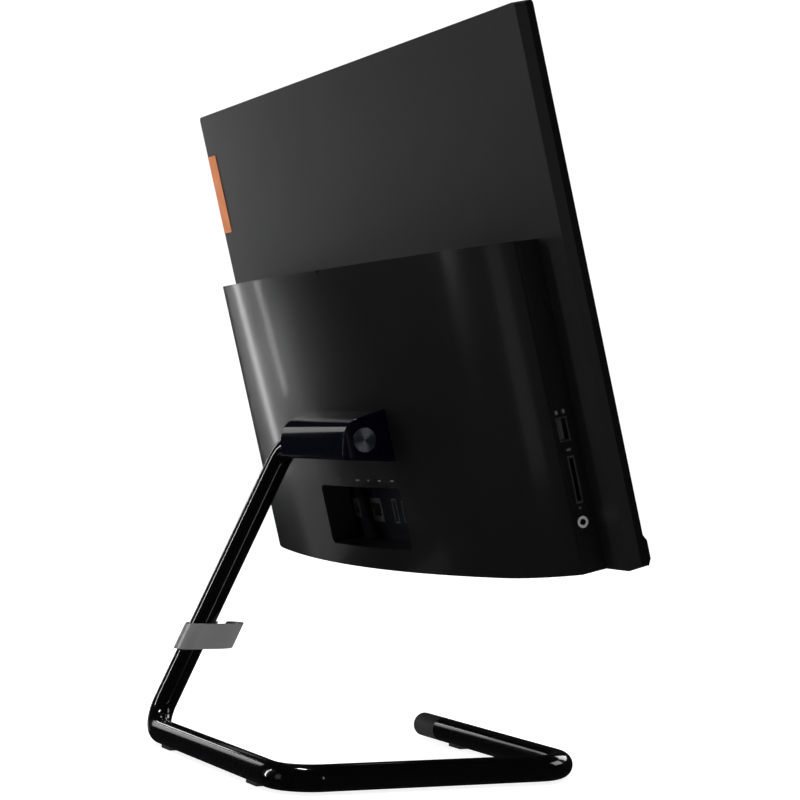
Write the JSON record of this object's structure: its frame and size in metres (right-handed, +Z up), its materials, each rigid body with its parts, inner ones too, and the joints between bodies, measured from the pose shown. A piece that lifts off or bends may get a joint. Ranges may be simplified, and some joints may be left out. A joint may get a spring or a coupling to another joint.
{
  "type": "all in one computer",
  "caption": "Thin all-in-one computer with a curved rear housing and socket recess, tilting on a hinge atop a bent tube stand.",
  "frame": {"origin": "centre of the footprint, on the desk under the foot pads", "axes": "+X to the right as the user faces the screen, +Y towards the back, +Z up; the screen faces -Y"},
  "size_m": [0.49, 0.1939, 0.4295],
  "materials": {
    "cover_plastic": "fine-textured satin",
    "bezel_plastic": "satin",
    "housing_plastic": "satin",
    "pocket_plastic": "matte",
    "shield_metal": "satin",
    "gloss_black": "gloss",
    "tube_paint": "gloss",
    "screen": "anti-glare",
    "diffuser": "matte",
    "steel_sheet": "plated",
    "connector_metal": "satin",
    "aluminium": "satin",
    "copper": "bright",
    "circuit_board": "solder mask",
    "component_black": "matte",
    "rubber": "matte",
    "bushing": "satin",
    "tag_orange": "matte",
    "clip_grey": "satin",
    "disc_metal": "turned",
    "lens_glass": "gloss",
    "flex": "satin"
  },
  "bodies": {
    "stand": {"stand_tube": "tube_paint", "retaining_ring": "steel_sheet", "tube_end_cap": "rubber", "foot_pads": "rubber"},
    "display": {"rear_cover": "cover_plastic", "front_bezel": "bezel_plastic", "chin_strip": "bezel_plastic", "side_tag": "tag_orange", "lcd_panel": "screen", "backlight_unit": "diffuser", "panel_driver_board": "circuit_board", "panel_cable": "flex", "chassis_frame": "steel_sheet", "webcam_module": "circuit_board", "webcam_lens": "lens_glass", "top_grille": "housing_plastic", "bottom_grille": "housing_plastic", "socket_side_panel": "housing_plastic", "button_side_panel": "housing_plastic", "housing_cover": "housing_plastic", "port_pocket": "pocket_plastic", "io_shield": "shield_metal", "motherboard": "circuit_board", "processor": "component_black", "cold_plate": "copper", "heat_pipe": "copper", "fin_stack": "aluminium", "fan_housing": "component_black", "memory_modules": "circuit_board", "memory_sockets": "component_black", "wireless_card": "circuit_board", "coin_cell": "connector_metal", "hard_drive": "aluminium", "drive_caddy": "steel_sheet", "left_speaker": "component_black", "right_speaker": "component_black", "power_inlet": "component_black", "network_port": "connector_metal", "video_port": "connector_metal", "rear_usb_ports": "connector_metal", "side_usb_port": "connector_metal", "card_reader": "connector_metal", "audio_jack": "connector_metal", "switch_board": "circuit_board", "hinge_bracket": "steel_sheet", "hinge_bushings": "bushing", "hinge_cover": "gloss_black", "hinge_end_disc": "disc_metal", "board_screws": "steel_sheet", "hinge_screws": "steel_sheet", "cover_screws": "steel_sheet"},
    "camera_shutter": {"camera_shutter": "bezel_plastic"},
    "fan": {"fan_rotor": "component_black"},
    "power_button": {"power_button": "bezel_plastic"},
    "cable_clip": {"cable_clip": "clip_grey"}
  },
  "joints": [
    {"name": "display_tilt", "type": "hinge", "parent": "stand", "child": "display", "pos_m": [0, 0.00239, 0.192], "axis": [-1, 0, 0], "range_deg": [-20, 5]},
    {"name": "shutter_slide", "type": "slide", "parent": "display", "child": "camera_shutter", "axis": [-1, 0, 0], "range_m": [0, 0.0065]},
    {"name": "fan_spin", "type": "hinge", "parent": "display", "child": "fan", "pos_m": [-0.121, -0.02908, 0.2465], "axis": [0, 0.9659, -0.2588], "continuous": true},
    {"name": "button_press", "type": "slide", "parent": "display", "child": "power_button", "axis": [-1, 0, 0], "range_m": [0, 0.001], "stiffness_N_per_m": 600},
    {"name": "clip_slide", "type": "slide", "parent": "stand", "child": "cable_clip", "axis": [0, -0.4284, 0.9036], "range_m": [-0.025, 0.05]}
  ]
}
